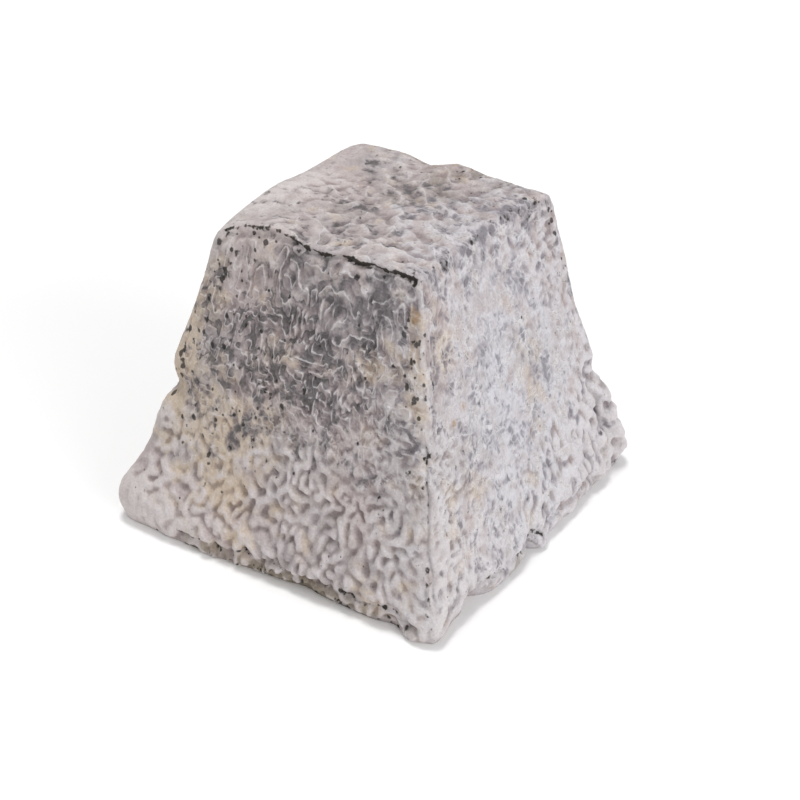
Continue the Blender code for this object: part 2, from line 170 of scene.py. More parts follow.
# The wrinkles near each of these points: their pitch, how much longer they are up the wall than across
# it, their depth, and how narrow their ridges are (0 for round worms, 1 for thin folds).
WRINKLE_STATIONS = [
    ((0, -24, 55), 2.1, 2.0, 1.25, 1.0),
    ((12, -25, 50), 2.1, 1.5, 1.10, 1.0),
    ((-16, -25, 54), 2.0, 1.5, 0.50, 0.9),
    ((-24, -28, 36), 2.0, 1.2, 0.38, 0.8),
    ((0, -30, 38), 1.9, 1.2, 1.00, 0.8),
    ((22, -30, 34), 2.0, 1.1, 0.85, 0.6),
    ((-18, -34, 20), 2.3, 1.3, 0.85, 0.3),
    ((4, -34, 20), 2.6, 1.1, 1.45, 0.0),
    ((24, -36, 14), 2.8, 1.0, 1.50, 0.0),
    ((-8, -38, 10), 2.9, 1.3, 1.50, 0.0),
    ((-27, -38, 12), 2.9, 1.2, 1.00, 0.0),
    ((-37, -38, 5), 3.2, 1.0, 0.28, 0.0),
    ((34, -37, 4), 3.2, 1.0, 0.55, 0.0),
    ((25, -2, 52), 2.0, 1.1, 0.20, 0.6),
    ((28, -12, 36), 2.0, 1.1, 0.20, 0.6),
    ((30, 12, 30), 2.1, 1.1, 0.24, 0.5),
    ((34, -16, 14), 2.3, 1.2, 0.42, 0.3),
    ((35, 14, 13), 3.0, 1.7, 0.80, 0.1),
    ((37, 34, 12), 4.2, 2.0, 1.60, 0.0),
    ((2, -10, 65), 3.8, 0.8, 1.10, 0.5),
    ((14, -4, 65), 3.6, 0.8, 1.10, 0.5),
    ((12, 12, 65), 3.6, 0.8, 0.95, 0.5),
    ((-4, 14, 65), 3.8, 0.8, 0.80, 0.5),
    ((-8, 0, 65), 3.8, 0.8, 0.95, 0.5),
    ((-19, -10, 65), 3.0, 1.0, 0.18, 0.1),
    ((-19, 12, 65), 3.0, 1.0, 0.16, 0.1),
    ((0, 28, 48), 2.1, 1.5, 0.50, 0.6),
    ((-12, 35, 20), 2.5, 1.1, 0.75, 0.1),
    ((16, 36, 14), 2.8, 1.2, 0.85, 0.0),
    ((-26, 4, 46), 2.1, 1.5, 0.55, 0.7),
    ((-34, -10, 20), 2.5, 1.2, 0.75, 0.2),
    ((-36, 18, 12), 2.9, 1.2, 0.90, 0.0),
]
STATION_SOFTENING = 3.0

# How the maze of wrinkles grows: what spreads over the near share of the pitch is kept, and what spreads
# over the far share is taken away.
NEAR_SPREAD = 0.153
FAR_SPREAD = 0.306
NEAR_PASSES = 16
FAR_PASSES = 60
SOFT_PASSES = 2
LEAST_GAP = 0.2
MOST_SHARE = 0.24
MAZE_ROUNDS = 7
MAZE_GAIN = 4.2
MAZE_BIAS = 0.04
SMALL_PITCH = 0.82
LARGE_PITCH = 1.25
FAT_POWER = 0.52

# Thin folds run where a wider maze changes sign, and the rind lies lower on its positive side.
LINE_PITCH = 1.25
LINE_WIDTH = 0.75
LINE_DROP = 0.32

# A fold line is the lip of the hollow on its positive side. A lip stands out where its hollow lies above
# it or, by the slant, to its right, and elsewhere keeps the least share of its height. The passes even out
# which lips do.
LEAST_LIP = 0.25
LIP_SLANT = 0.5
LIP_PASSES = 3
LIP_GAIN = 2.5

# From patch to patch the wrinkles change their pitch and their direction, and come and go, the round folds
# less than the thin ones.
PATCH_SIZE = 6.0
PITCH_CHANGE = 1.5
STRETCH_CHANGE = 1.3
FOLD_SHARE = 0.8
FOLD_PRESENCE = 0.90
MOST_PRESENCE = 1.2
PRESENCE_SIZE = 5.0
PRESENCE_CHANGE = 1.1
ROUND_FOLD_CHANGE = 0.4

# Lumps make folds of one height into higher and lower ones: their sizes and weights.
LUMPS = [(3.4, 0.75), (1.7, 0.50), (0.9, 0.25)]

# Crinkles are a net of thin ridges between and over the folds: their sizes and weights, how far they are
# bent, and their share in the relief where folds are round and where they are thin.
CRINKLES = [(2.8, 0.65), (1.5, 0.35)]
CRINKLE_BEND = 0.8
CRINKLE_STRETCH = 1.5
CRINKLE_SHARPNESS = 3.2
CRINKLE_SHARE = (0.05, 0.20)

# Folds sag down the walls by this share of their depth, less so near the floor.
SAG = 0.16
SAG_ZONE = 4.0

# Along the edges and the rim only this share of the wrinkles is left.
CALM = 0.25
CALM_ZONE = 1.7
FLOOR_ZONE = 1.4

# What the rind carries: grey ash, cream-coloured bare skin, white bloom, dots of black mould, grime and
# brown stains. Waves say how clearly light threads show along the folds, partly mould and partly a painted
# highlight on the lips lit from above, lace how clearly threads of mould show in a net over them, and cool
# how blue the bloom and the ash are. Each has an amount everywhere, and spots that add to it: place round
# the walls, height, half width, half height, and how much more.
ZONES = {
    "ash": (0.22, [
        (0, 8, 14, 9, -0.30), (0.05, 62, 5, 4, -0.20), (0.22, 55, 9, 8, 0.06), (0.25, 29, 10, 8, 0.16),
        (0.26, 39, 8, 6, 0.20), (0.32, 24, 6, 7, 0.16), (0.4, 63, 6, 2, 0.20), (0.48, 33, 13, 8, 0.16),
        (0.5, 8, 30, 12, -0.22), (0.5, 42, 22, 6, 0.10), (0.53, 49, 23, 14, 0.30), (0.62, 38, 7, 5, 0.15),
        (0.76, 33, 12, 8, 0.12), (0.78, 57, 8, 7, 0.06), (0.8, 62, 8, 2, 0.30), (0.92, 5, 8, 5, 0.12),
        (0.93, 22, 8, 20, -0.15), (0.975, 50, 2.4, 14, -0.34), (1.2, 12, 12, 8, 0.15),
        (1.25, 30, 8, 8, 0.12), (1.38, 48, 11, 9, 0.16), (1.4, 64, 12, 1.6, 0.35),
        (1.5, 35, 30, 40, 0.10), (1.6, 62, 14, 5, 0.15), (1.75, 64, 10, 2, 0.48), (1.98, 10, 5, 8, 0.20),
        (2.4, 46, 18, 12, 0.35), (3.5, 8, 30, 12, -0.25), (3.5, 44, 18, 13, 0.55),
    ]),
    "cream": (0.06, [
        (0.02, 42, 5, 18, 0.85), (0.1, 29, 8, 8, 0.55), (0.1, 54, 5, 6, 0.35), (0.2, 13, 11, 7, 0.40),
        (0.25, 28, 13, 10, 0.85), (0.3, 20, 7, 7, 0.40), (0.33, 13, 8, 8, 0.50),
        (0.38, 44, 2.5, 2.5, 0.80), (0.55, 1.6, 26, 1.9, 0.40), (0.62, 11, 14, 6, 0.10),
        (0.74, 49, 4, 4, 0.60), (0.9, 6, 9, 5, 0.42), (0.9, 46, 5, 8, 0.20), (0.97, 49, 2.2, 14, 1.30),
        (1.08, 20, 4, 8, 0.45), (1.12, 52, 4, 7, 0.60), (1.22, 24, 6, 8, 0.45), (1.5, 14, 8, 8, 0.42),
        (1.62, 34, 5, 14, 0.62), (1.72, 14, 6, 5, 0.25), (1.97, 45, 2.2, 14, 0.50),
        (2.3, 26, 10, 9, 0.60), (2.97, 40, 3, 16, 0.55), (3.3, 30, 11, 9, 0.70), (3.75, 16, 9, 8, 0.45),
    ]),
    "bloom": (0.10, [
        (0, 5, 13, 7, 0.85), (0.01, 24, 8, 4, 0.50), (0.16, 4, 10, 4, 0.60), (0.5, 24, 26, 14, 0.18),
        (0.97, 4, 5, 6, 0.30), (1.1, 5, 10, 8, 0.20), (1.12, 52, 4, 7, -0.35), (1.22, 24, 6, 8, -0.30),
        (1.5, 14, 8, 8, -0.20), (1.5, 25, 40, 60, 0.70), (1.62, 34, 5, 14, -0.35), (2, 8, 8, 10, 0.40),
        (2.5, 12, 26, 12, 0.45), (2.75, 55, 12, 14, 0.35), (3.05, 6, 12, 9, 0.60), (3.6, 5, 14, 6, 0.50),
        (3.8, 64, 26, 10, 0.60),
    ]),
    "dots": (0.26, [
        (0.03, 45, 4, 22, 0.65), (0.1, 64.3, 3, 1, 0.70), (0.15, 58, 8, 6, 0.60),
        (0.22, 64.2, 5, 1, 0.80), (0.28, 28, 12, 12, 0.38), (0.3, 42, 12, 8, 0.35),
        (0.36, 63.6, 4, 1.4, 0.60), (0.55, 2.2, 30, 2, 0.40), (0.62, 12, 24, 10, -0.18),
        (0.7, 62.5, 10, 1.6, 0.40), (0.965, 51, 3, 12, 1.10), (1.12, 64.8, 4, 1.2, 0.50),
        (1.5, 35, 30, 40, -0.14), (1.6, 65, 12, 1.6, 0.40), (1.95, 66, 6, 5, 0.40),
        (2.03, 50, 4, 16, 0.50), (2.2, 52, 10, 8, 0.40), (2.96, 44, 4, 20, 0.60), (3.2, 52, 10, 8, 0.50),
    ]),
    "waves": (0.12, [
        (0, 6, 14, 9, -0.10), (0.08, 60, 6, 6, -0.40), (0.5, 50, 26, 15, 0.85), (1.5, 36, 30, 40, 0.15),
        (2.4, 48, 22, 16, 0.45), (3.5, 48, 26, 16, 0.65),
    ]),
    "lace": (0.10, [
        (0, 6, 14, 9, -0.10), (0.5, 32, 30, 8, 0.25), (1.5, 36, 32, 44, 0.80), (2.6, 40, 30, 30, 0.35),
        (3.3, 30, 20, 12, 0.35),
    ]),
    "cool": (0.10, [
        (0.9, 10, 8, 12, 0.20), (1.5, 35, 36, 60, 0.90), (2.5, 20, 30, 30, 0.50),
    ]),
    "grime": (0.00, [
        (0.05, 50, 5, 8, 0.20), (0.28, 2.6, 4, 2.5, 0.45), (0.4, 38, 8, 6, 0.35), (0.6, 1.6, 25, 3, 0.95),
        (1.18, 1.5, 4, 2.4, 0.50), (1.4, 1.5, 8, 2.4, 0.60), (1.7, 1.5, 8, 2, 0.60),
        (2.6, 2, 18, 2.2, 0.60), (3.5, 2, 20, 2.2, 0.60),
    ]),
    "stain": (0.00, [
        (0.27, 38, 4, 4, 0.45), (0.42, 40, 5, 4, 0.30), (0.955, 54, 1.4, 3, 0.60),
        (0.965, 59, 1.5, 1.6, 1.30), (1.12, 56, 1.2, 2, 0.45), (1.16, 37, 1, 1.4, 0.90),
        (1.2, 35.5, 0.9, 1.2, 0.90), (1.22, 38.5, 0.8, 1, 0.80), (2.35, 40, 6, 5, 0.35),
        (2.6, 66, 16, 2.4, 0.45), (3.4, 38, 6, 5, 0.35),
    ]),
}

# The same over the top: x, y, half width, and how much more. They fade out this far below the rim.
TOP_SPOT_REACH = 4.0
TOP_SPOTS = {
    "ash": [(2, 2, 18, 0.18), (-13, 14, 4, 0.25), (20, 16, 3, 0.35), (0, 12, 4, 0.14), (8, 6, 3, 0.20)],
    "cream": [(8, -16, 8, 0.20), (2, 4, 12, 0.15)],
    "bloom": [(-18, 0, 10, 0.35), (12, -16, 9, 0.25)],
    "dots": [(8, 20, 8, 0.15)],
    "grime": [(0, 22, 10, 0.45), (4, 2, 18, 0.26)],
    "stain": [(2, 20, 9, 0.20)],
    "waves": [(2, 0, 18, 0.35)],
    "lace": [(0, 2, 24, -0.05)],
}

# Wrinkles shallower than this colour their ridges and valleys less: less painted light on the ridges, less
# painted shade in the valleys, and less of the coats drawn to either.
FULL_COLOUR_DEPTH = 0.7

# Dark lines of dirt along the crest, and of painted shade where they follow the creases: how much, half
# width, and the places that each runs through.
DIRT_AND_CREASE_SHADE_LINES = [
    (0.58, 0.60, [(0.02, 64.8), (0.13, 64.8), (0.26, 64.8), (0.36, 64.6), (0.40, 64.5)]),
    (0.76, 0.48, [(0.40, 64.5), (0.52, 64.5), (0.72, 64.5), (0.86, 64.4), (0.975, 64.2)]),
    (0.50, 1.20, [(0.66, 63.8), (0.70, 63.8)]),
    (0.50, 0.90, [(0.84, 64.1), (0.97, 63.9)]),
    (0.40, 0.80, [(0.950, 63.6), (0.972, 62.6)]),
    (0.40, 0.60, [(1.02, 64.4), (1.10, 65.0), (1.18, 65.0)]),
    (0.38, 1.30, [(1.22, 64.0), (1.40, 64.0), (1.50, 65.0)]),
    (0.42, 1.50, [(1.62, 64.5), (1.80, 64.0), (1.97, 65.0)]),
    (0.45, 0.70, [(2.05, 65.0), (2.30, 65.5), (2.50, 65.2)]),
    (0.40, 0.60, [(2.66, 65.2), (2.86, 65.0)]),
    (0.52, 0.60, [(0.985, 40.0), (0.995, 28.0), (0.985, 22.0)]),
    (0.46, 1.00, [(0.975, 14.0), (0.985, 5.0)]),
    (0.50, 0.60, [(0.22, 2.6), (0.42, 4.0), (0.58, 4.4), (0.78, 4.3), (0.94, 3.4)]),
    (0.48, 0.40, [(0.30, 1.7), (0.50, 2.3), (0.75, 2.2), (0.93, 1.8)]),
    (0.60, 0.50, [(0.04, 0.4), (0.30, 0.5), (0.60, 0.4), (0.90, 0.5)]),
    (0.30, 0.80, [(1.08, 2.6), (1.25, 4.6), (1.40, 3.6), (1.58, 5.2), (1.80, 4.0)]),
    (0.40, 1.20, [(1.45, 1.0), (1.47, 5.0)]),
    (0.32, 0.80, [(2.14, 3.0), (2.40, 4.6), (2.70, 4.0), (2.88, 3.2)]),
    (0.32, 0.80, [(3.12, 3.0), (3.42, 4.4), (3.66, 3.6), (3.90, 4.4)]),
]

# Where the camera stands: its turn round the cheese, its height above the floor and its distance.
CAMERA_TURN = 33.64
CAMERA_CLIMB = 32.83
CAMERA_DISTANCE = 361.4
CAMERA_AIM = (3.052, 2.897, 20.746)
LENS = 78.75


def screen_colour(red, green, blue):
    """A shader colour from the 0 to 255 values that a screen shows."""
    shown = np.array([red, green, blue]) / 255
    return (*((shown + 0.055) / 1.055) ** 2.4, 1.0)


PINK_SKIN = screen_colour(182, 169, 168)
GREY_SKIN = screen_colour(172, 164, 164)
CREAM = screen_colour(201, 184, 163)
WARM_BLOOM = screen_colour(205, 196, 193)
COOL_BLOOM = screen_colour(204, 203, 209)
GRIME = screen_colour(134, 123, 108)
STAIN = screen_colour(158, 126, 84)
# Painted shade for the valleys of the wrinkles.
PAINTED_VALLEY_SHADE = screen_colour(165, 150, 150)
# Light threads: mould, and along the folds partly a painted highlight on the lips lit from above.
MOULD_THREADS_AND_PAINTED_HIGHLIGHT = screen_colour(220, 216, 219)
# Painted light for the ridges of the wrinkles.
PAINTED_RIDGE_LIGHT = screen_colour(205, 198, 199)
ASHEN = screen_colour(124, 113, 114)
COOL_ASHEN = screen_colour(146, 142, 152)
ASH = screen_colour(72, 73, 72)
BLACK_MOULD = screen_colour(40, 38, 35)
# Dark lines of dirt, and of painted shade in the creases.
DIRT_AND_CREASE_SHADE = screen_colour(40, 35, 27)

# Noise on the rind: the size of its features in millimetres, and its octaves.
BROAD = (16.0, 3.0)
PATCHY = (8.0, 6.0)
SPECKLED = (4.5, 6.0)
BLOTCHY = (3.2, 6.0)
FINE = (1.3, 3.0)
LUMPY = (1.1, 2.0)
GRAINY = (0.45, 2.0)
FELTED = (0.4, 3.0)

# Some of it is a little taller than wide. Then the ranges of noise that blend the two skins and the grain.
TALL = (1, 1, 0.75)
SKIN_BLEND = (-0.12, 0.12)
GRAIN_BLEND = (-0.25, 0.25)
GRAIN_STRENGTH = 0.15

# How each coat spreads over the rind: what carries it, how ragged noise makes it, how far it is drawn to
# the ridges (above 0) or the valleys (below 0), and the amounts at which it begins and is whole.
COATS = {
    "cream": ("cream", 3.4, 0.05, 0.15, 1.00),
    "bloom": ("bloom", 1.6, 0.25, 0.10, 0.90),
    "grime": ("grime", 1.6, -0.10, 0.20, 0.90),
    "stain": ("stain", 1.6, 0.00, 0.30, 0.95),
    "ash": ("ash", 1.0, -0.30, 0.28, 0.95),
    "smudges": ("ash", 1.0, -0.20, 0.58, 1.10),
    # Dark lines of dirt, and of painted shade in the creases.
    "dirt_and_crease_shade": ("dirt_and_crease_shade", 2.4, -0.05, 0.40, 0.75),
}

# How strongly each layer covers what is under it. The smudges are weaker where the rind is cool.
CREAM_STRENGTH = 0.80
GRIME_STRENGTH = 0.90
STAIN_STRENGTH = 0.75
ASHEN_STRENGTH = 0.74
SMUDGE_STRENGTH = 0.74
COOL_FADE = 0.45
DOT_STRENGTH = 0.86
# Dark lines of dirt, and of painted shade in the creases.
DIRT_AND_CREASE_SHADE_STRENGTH = 0.95
# Painted shade in the valleys of the wrinkles.
VALLEY_SHADE = 0.50
# Painted light on the ridges of the wrinkles.
RIDGE_LIGHT = 0.60
# Threads partly of mould and partly painted highlight on the lips lit from above.
THREAD_LIGHT = 0.64

# The heights at which the painted light on the ridges and the painted shade in the valleys begin and are
# whole, and how ragged noise makes them.
VALLEY_RANGE = (0.1, -0.8)
VALLEY_RAGGED = 0.8
RIDGE_RANGE = (0.35, 0.9)
RIDGE_RAGGED = 0.7

# Shares of noise, hollows and threads in the patches of ash. In the hollows the ash is partly painted
# shade.
BLOTCHY_ASH = 2.0
PATCHY_ASH = 1.3
FINE_SMUDGES = 2.0
HOLLOW_ASH_AND_PAINTED_SHADE = 0.50
THREAD_ASH = -0.25

# Dots: the sizes of their cells in millimetres, how far the amount has to pass a cell's chance for a full
# dot, their radius as a share of the cell, how ragged they are, and their soft border.
DOT_CELLS = (2.2, 1.3)
FULL_DOT_CHANCE = 0.5
DOT_RADII = (-0.05, 0.23)
DOT_RAGGED = 0.8
DOT_BORDER = (-0.08, 0.06)

# Threads along the thin folds: how far they stray, where they fade out (noise, and its range), how many
# show whatever their lip, and how wide they are. They are partly mould and partly a painted highlight, as
# most show on the lips lit from above. Then the hollow beside them, from its start to its end.
THREAD_STRAY = 1.2
THREAD_PATCHES = (3.0, 3.0)
THREADS_SHOWN = (-0.20, 0.04)
LEAST_THREAD = 0.15
THREAD_WIDTH = (0.65, 0.05)
HOLLOW_START = (0.10, 0.45)
HOLLOW_END = (1.15, 0.60)
HOLLOW_PATCHES = (2.6, 2.0)
HOLLOWS_SHOWN = (-0.10, 0.08)

# The lace: the size of its cells in millimetres, and as multiples of it the size and reach of their bends
# and the size of its patches. Then where it shows, how wide its threads are, and the hollows inside.
LACE_CELL = 1.9
LACE_BEND_SIZE = 1.5
LACE_BEND_REACH = 2.0
LACE_PATCH_SIZE = 2.4
LACE_SHOWN = (-0.12, 0.12)
LACE_WIDTH = (0.16, 0.01)
LACE_HOLLOW = (0.10, 0.36)
LACE_HOLLOW_DEPTH = 0.6

# Relief of the surface in metres.
LUMP_RELIEF = 0.00030
THREAD_RELIEF = 0.00025
HOLLOW_RELIEF = 0.00012
GRAIN_RELIEF = 0.00015
ROUGHNESS = 0.82
ROUGHNESS_CHANGE = 0.2
ROUGHNESS_PATCHES = (1.5, 3.0)
SPECULAR = 0.3

FLOOR_SIDE = 8.0
FLOOR_COLOUR = (0.97, 0.97, 0.97, 1.0)
LIGHT_DISTANCE = 2.6
# Where each soft light comes from, how wide it is, and its power in watts.
LIGHTS = {
    "overhead": ((-0.14, 0.12, 0.97), 0.6, 30.0),
    "right": ((0.95, -0.20, 0.26), 2.0, 38.0),
    "left": ((-0.55, -0.35, 0.75), 2.2, 6.0),
}
ROOM_LIGHT = 0.50


def rind_indices(n, rows):
    """Point numbers of the wall grid [row, column] and of the top patch [x, y], which shares its border."""
    wall = np.arange((rows + 1) * 4 * n).reshape(rows + 1, 4 * n)
    top = np.zeros((n + 1, n + 1), int)
    top[1:n, 1:n] = wall.size + np.arange((n - 1) ** 2).reshape(n - 1, n - 1)
    steps = np.arange(n + 1)
    rim = wall[rows]
    top[steps, 0] = rim[steps]
    top[n, steps] = rim[n + steps]
    top[steps, n] = rim[3 * n - steps]
    top[0, steps] = rim[(4 * n - steps) % (4 * n)]
    return wall, top


def rind_neighbours(wall, top):
    """Each point's neighbours as columns: before and after along its row, then below and above."""
    n = len(top) - 1
    near = np.zeros((wall.size + (n - 1) ** 2, 4), int)
    near[wall, 0] = np.roll(wall, 1, axis=1)
    near[wall, 1] = np.roll(wall, -1, axis=1)
    near[wall, 2] = np.vstack([wall[:1], wall[:-1]])
    near[wall, 3] = np.vstack([wall[1:], wall[-1:]])
    inner = top[1:n, 1:n]
    near[inner, 0] = top[0 : n - 1, 1:n]
    near[inner, 1] = top[2:, 1:n]
    near[inner, 2] = top[1:n, 0 : n - 1]
    near[inner, 3] = top[1:n, 2:]
    near[top[1:n, 0], 3] = top[1:n, 1]
    near[top[n, 1:n], 3] = top[n - 1, 1:n]
    near[top[1:n, n], 3] = top[1:n, n - 1]
    near[top[0, 1:n], 3] = top[1, 1:n]
    return near


def rind_faces(wall, top):
    """Quads of the walls and the top, then the flat base as one face."""
    right = np.roll(wall, -1, axis=1)
    sides = np.stack([wall[:-1], right[:-1], right[1:], wall[1:]], axis=-1).reshape(-1, 4)
    lid = np.stack([top[:-1, :-1], top[1:, :-1], top[1:, 1:], top[:-1, 1:]], axis=-1).reshape(-1, 4)
    return np.vstack([sides, lid]).tolist() + [wall[0, ::-1].tolist()]


def wall_points():
    """Points of the sharp-edged pyramid's walls, as [row, column, xyz]."""
    n = COLUMNS_A_WALL
    heights = np.linspace(0, HEIGHT, ROWS + 1)
    centres = heights[:, None] / HEIGHT * TOP_LEAN
    corners = [
        centres + np.interp(heights, *zip(*track))[:, None] * way
        for way, track in zip(EDGE_WAYS, EDGE_REACH)
    ]
    along = np.arange(n) / n
    points = np.zeros((ROWS + 1, 4 * n, 3))
    points[..., 2] = heights[:, None]
    for side in range(4):
        here, there = corners[side], corners[(side + 1) % 4]
        span = there - here
        outward = np.stack([span[:, 1], -span[:, 0]], axis=1) / np.linalg.norm(span, axis=1)[:, None]
        bow = np.interp(heights, BOW_HEIGHTS, WALL_BOWS[side])
        share = along[None, :, None]
        bulge = 4 * share * (1 - share) * (bow[:, None] * outward)[:, None, :]
        points[:, side * n : (side + 1) * n, :2] = here[:, None] + share * span[:, None] + bulge
    return points


def top_points(rim):
    """The top patch as [x, y, xyz], blended from the four runs of the rim."""
    n = COLUMNS_A_WALL
    steps = np.arange(n + 1)
    low, high = rim[steps], rim[3 * n - steps]
    left, right = rim[(4 * n - steps) % (4 * n)], rim[n + steps]
    s = (steps / n)[:, None, None]
    t = (steps / n)[None, :, None]
    across = (1 - t) * low[:, None] + t * high[:, None]
    along = (1 - s) * left[None] + s * right[None]
    corners = (1 - s) * ((1 - t) * low[0] + t * high[0]) + s * ((1 - t) * low[-1] + t * high[-1])
    return across + along - corners


def places(wall, top):
    """Each point's place: round the walls, and up them and on inwards over the top."""
    n = len(top) - 1
    count = wall.size + (n - 1) ** 2
    around, upward = np.zeros(count), np.zeros(count)
    around[wall] = np.arange(4 * n) / n
    upward[wall] = np.linspace(0, HEIGHT, len(wall))[:, None]
    x, y = np.meshgrid(np.arange(1, n), np.arange(1, n), indexing="ij")
    insets = np.stack([y, n - x, n - y, x])
    side = insets.argmin(axis=0)
    around[top[1:n, 1:n]] = side + np.choose(side, [x, y, n - x, n - y]) / n
    upward[top[1:n, 1:n]] = HEIGHT + insets.min(axis=0) / n * TOP_WIDTH
    return around % 4, upward


def wall_width(upward):
    """Width of the walls at this height. Over the top it stays that of the rim."""
    return np.interp(upward, [0, HEIGHT], [FOOT_WIDTH, TOP_WIDTH])


def sideways(around, upward, place):
    """Distance along the walls from a place round them."""
    return ((around - place + 2) % 4 - 2) * wall_width(upward)


def edge_distance(around, upward):
    """Distance along the wall from the nearest upright edge."""
    share = around % 1
    return np.minimum(share, 1 - share) * wall_width(upward)


def rounding(around, upward):
    """The radius that slumping gives each point's surroundings."""
    side = around.astype(int)
    edge = np.where(around % 1 < 0.5, side, (side + 1) % 4)
    by_edge = np.clip(1 - edge_distance(around, upward) / RADIUS_ZONE, 0, 1)
    by_rim = np.clip(1 - abs(HEIGHT - upward) / RADIUS_ZONE, 0, 1)
    edge_radius = FLAT_RADIUS + (np.take(EDGE_RADII, edge) - FLAT_RADIUS) * np.sqrt(by_edge)
    rim_radius = FLAT_RADIUS + (np.take(RIM_RADII, side) - FLAT_RADIUS) * np.sqrt(by_rim)
    return np.where(by_rim > 0, np.maximum(rim_radius, edge_radius * by_edge), edge_radius)


def slumped(points, near, radius, floor):
    """The points drawn towards their neighbours' mean, as often and as far as their radius asks."""
    gap = np.linalg.norm(points[near] - points[:, None], axis=2).max(axis=1)
    spread = SPREAD_A_RADIUS * radius
    pull = np.clip(2 * spread**2 / gap**2 / SLUMP_ROUNDS, 0, 0.9)[:, None]
    for _ in range(SLUMP_ROUNDS):
        points = points + pull * (points[near].mean(axis=1) - points)
        points[floor, 2] = 0
    return points


def outward(points, faces):
    """Each point's outward direction. Along the floor it stays level."""
    quads = np.array(faces[:-1])
    first = points[quads[:, 2]] - points[quads[:, 0]]
    second = points[quads[:, 3]] - points[quads[:, 1]]
    across = np.cross(first, second)
    total = np.zeros_like(points)
    for corner in range(4):
        np.add.at(total, quads[:, corner], across)
    total[faces[-1], 2] = 0
    return total / np.linalg.norm(total, axis=1)[:, None]


def rim_rise(around, upward):
    """How far the rim, and what lies near it, has risen or sunk."""
    rise = np.zeros_like(around)
    for place, half_width, up in RIM_RISES:
        rise += up * np.exp(-((sideways(around, upward, place) / half_width) ** 2))
    return rise * np.exp(-(((upward - HEIGHT) / RIM_RISE_REACH) ** 2))


def swelling(around, upward):
    """How far the swellings and dents lift each point."""
    lift = np.zeros_like(around)
    for place, level, half_width, half_height, out in SWELLINGS:
        across = sideways(around, upward, place) / half_width
        lift += out * np.exp(-(across**2) - ((upward - level) / half_height) ** 2)
    return lift


def line_distance(across, upward, start, end):
    """Distance on the unrolled wall from the straight line between two (across, upward) pairs."""
    span = np.subtract(end, start)
    share = ((across - start[0]) * span[0] + (upward - start[1]) * span[1]) / (span @ span)
    share = np.clip(share, 0, 1)
    return np.hypot(across - start[0] - share * span[0], upward - start[1] - share * span[1])


def lines_over(around, upward, lines):
    """Sum of what the lines leave at each point: how deep creases cut, or how dark the dirt and the painted
    crease shade make the rind.
    """
    depth = np.zeros_like(around)
    for deep, half_width, route in lines:
        origin = route[0][0]
        across = sideways(around, upward, origin)
        stops = [((place - origin) * wall_width(level), level) for place, level in route]
        away = [line_distance(across, upward, *leg) for leg in zip(stops, stops[1:])]
        depth += deep * np.exp(-((np.min(away, axis=0) / half_width) ** 2))
    return depth


def rough(points, size, seed=0.0):
    """Smooth unevenness from about -1 to 1, with features of this size."""
    start = Vector((seed, seed, seed))
    return np.array([noise.noise(Vector(point) / size + start) for point in points])


def station_values(points):
    """Pitch, stretch up the wall, depth and thinness of the wrinkles at each point."""
    spots = np.array([spot for spot, *_ in WRINKLE_STATIONS], float)
    values = np.array([rest for _, *rest in WRINKLE_STATIONS])
    apart = ((points[:, None] - spots) ** 2).sum(axis=2) + STATION_SOFTENING**2
    shares = apart**-2.0
    return (shares @ values / shares.sum(axis=1)[:, None]).T


def spread_out(pattern, near, across, up, passes):
    """A pattern spread over its neighbours, by a share across and a share up in each pass."""
    for _ in range(passes):
        around = pattern[near]
        sides = around[:, 0] + around[:, 1] - 2 * pattern
        ends = around[:, 2] + around[:, 3] - 2 * pattern
        pattern = pattern + across * sides + up * ends
    return pattern


def crinkled(points):
    """Thin ridges that meet in an uneven net, from -1 between them to 1 along them."""
    # Without a seed the vector noise would be another one in each run.
    noise.seed_set(SEED)
    total = np.zeros(len(points))
    for size, weight in CRINKLES:
        bent = [noise.noise_vector(Vector(point) / (2 * size)) * size * CRINKLE_BEND for point in points]
        moved = (points + np.array(bent)) / (1, 1, CRINKLE_STRETCH)
        total += weight * (1 - 2 * np.minimum(np.abs(rough(moved, size, seed=size)) * CRINKLE_SHARPNESS, 1))
    return total


def spreads_for(pitch, stretch, across, up):
    """Shares across and up, and passes, of the near and the far spread that give a maze this pitch."""
    found = []
    for share, passes in ((NEAR_SPREAD, NEAR_PASSES), (FAR_SPREAD, FAR_PASSES)):
        variance = (share * pitch) ** 2 / 2 / passes
        shares = (variance / stretch / across**2, variance * stretch / up**2)
        found.append((*np.clip(shares, 0, MOST_SHARE), passes))
    return found


def maze_values(points):
    """Pitch and stretch of the maze at each point, and from 0 to 1 how much finer it is."""
    pitch, stretch, *_ = station_values(points)
    stretch = stretch * 2 ** (STRETCH_CHANGE * rough(points, PATCH_SIZE, seed=7.3))
    return pitch, stretch, np.clip(0.5 + PITCH_CHANGE * rough(points, PATCH_SIZE, seed=3.1), 0, 1)


def maze(points, near, pitch, stretch, finer):
    """A maze of wrinkles from -1 in its valleys to 1 on its ridges, of a smaller pitch where finer is 1."""
    gaps = np.linalg.norm(points[near] - points[:, None], axis=2)
    across = np.maximum(gaps[:, :2].mean(axis=1), LEAST_GAP)
    up = np.maximum(gaps[:, 2:].max(axis=1), LEAST_GAP)
    small = spreads_for(SMALL_PITCH * pitch, stretch, across, up)
    large = spreads_for(LARGE_PITCH * pitch, stretch, across, up)
    pattern = np.random.default_rng(SEED).normal(size=len(points))
    for _ in range(MAZE_ROUNDS):
        detail = spread_out(pattern, near, *small[0]) - spread_out(pattern, near, *small[1])
        form = spread_out(pattern, near, *large[0]) - spread_out(pattern, near, *large[1])
        pattern = np.tanh(MAZE_GAIN * (finer * detail + (1 - finer) * form) + MAZE_BIAS)
    return spread_out(pattern, near, *small[0][:2], SOFT_PASSES)


